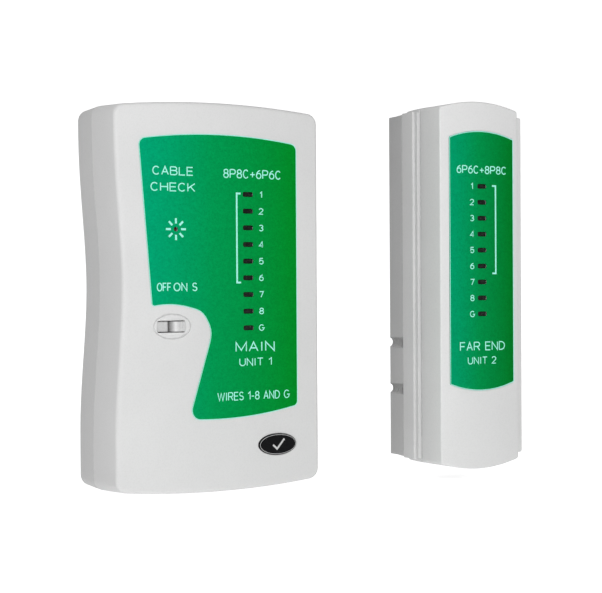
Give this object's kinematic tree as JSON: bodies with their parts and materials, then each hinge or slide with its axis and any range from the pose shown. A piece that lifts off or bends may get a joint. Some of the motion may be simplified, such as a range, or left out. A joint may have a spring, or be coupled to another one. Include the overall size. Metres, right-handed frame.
{
  "type": "network cable tester",
  "caption": "Two-piece network cable tester: waisted main unit with slide switch and lamp column, and a slim far-end unit that docks on its side.",
  "frame": {"origin": "centre of the main unit's flat back", "axes": "+X to the right of the printed face, +Y out of the back, +Z towards the end with the main sockets"},
  "size_m": [0.1158, 0.0411, 0.104],
  "materials": {
    "case_plastic": "light grey moulded plastic, fine satin texture",
    "label_green": "printed film, satin",
    "badge_black": "clear domed resin over black print",
    "board_green": "solder mask",
    "led_smoke": "dark diffused lens",
    "led_red": "red lens",
    "sheet_steel": "tinned sheet",
    "phenolic": "brown laminate",
    "tinned": "tinned",
    "knob_plastic": "white moulded plastic",
    "jack_black": "black glass-filled plastic",
    "gold": "gold flash on spring wire",
    "chip_black": "moulded epoxy",
    "resistor_body": "glazed chip with tinned ends",
    "capacitor_sleeve": "sleeved can",
    "diode_glass": "glass body, tinned leads",
    "battery_jacket": "printed jacket",
    "cell_wrap": "wrapped cells",
    "snap_black": "soft vinyl",
    "wire_red": "vinyl insulation",
    "wire_black": "vinyl insulation",
    "foam": "open-cell foam",
    "screw_steel": "plated steel"
  },
  "bodies": {
    "main_unit": {"badge": "badge_black", "battery_can": "battery_jacket", "battery_cells": "cell_wrap", "battery_foam": "foam", "battery_lead_black": "wire_black", "battery_lead_red": "wire_red", "battery_snap": "snap_black", "battery_terminals": "tinned", "counter_chip": "chip_black", "main_back_shell": "case_plastic", "main_capacitors": "capacitor_sleeve", "main_front_shell": "case_plastic", "main_label": "label_green", "main_led_row": "led_smoke", "main_pcb": "board_green", "main_resistors": "resistor_body", "main_rj11_contacts": "gold", "main_rj11_housing": "jack_black", "main_rj45_contacts": "gold", "main_rj45_housing": "jack_black", "main_rj45_shield": "sheet_steel", "main_screws": "screw_steel", "power_led": "led_red", "switch_base": "phenolic", "switch_frame": "sheet_steel", "switch_pins": "tinned", "timer_chip": "chip_black"},
    "battery_door": {"battery_door": "case_plastic"},
    "switch_knob": {"switch_knob": "knob_plastic"},
    "remote_unit": {"remote_back_shell": "case_plastic", "remote_diodes": "diode_glass", "remote_front_shell": "case_plastic", "remote_label": "label_green", "remote_led_row": "led_smoke", "remote_pcb": "board_green", "remote_resistors": "resistor_body", "remote_rj11_contacts": "gold", "remote_rj11_housing": "jack_black", "remote_rj45_contacts": "gold", "remote_rj45_housing": "jack_black", "remote_rj45_shield": "sheet_steel", "remote_screws": "screw_steel", "remote_side_rail": "case_plastic"}
  },
  "joints": [
    {"name": "switch_slide", "type": "slide", "parent": "main_unit", "child": "switch_knob", "axis": [1, 0, 0], "range_m": [-0.003, 0]},
    {"name": "battery_door_hinge", "type": "hinge", "parent": "main_unit", "child": "battery_door", "pos_m": [0.0003, -0.0002, -0.0418], "axis": [-1, 0, 0], "range_deg": [0, 70]},
    {"name": "remote_dock", "type": "slide", "parent": "main_unit", "child": "remote_unit", "axis": [-0.8783, 0.4711, -0.0821], "range_m": [0, 0.0329]}
  ]
}
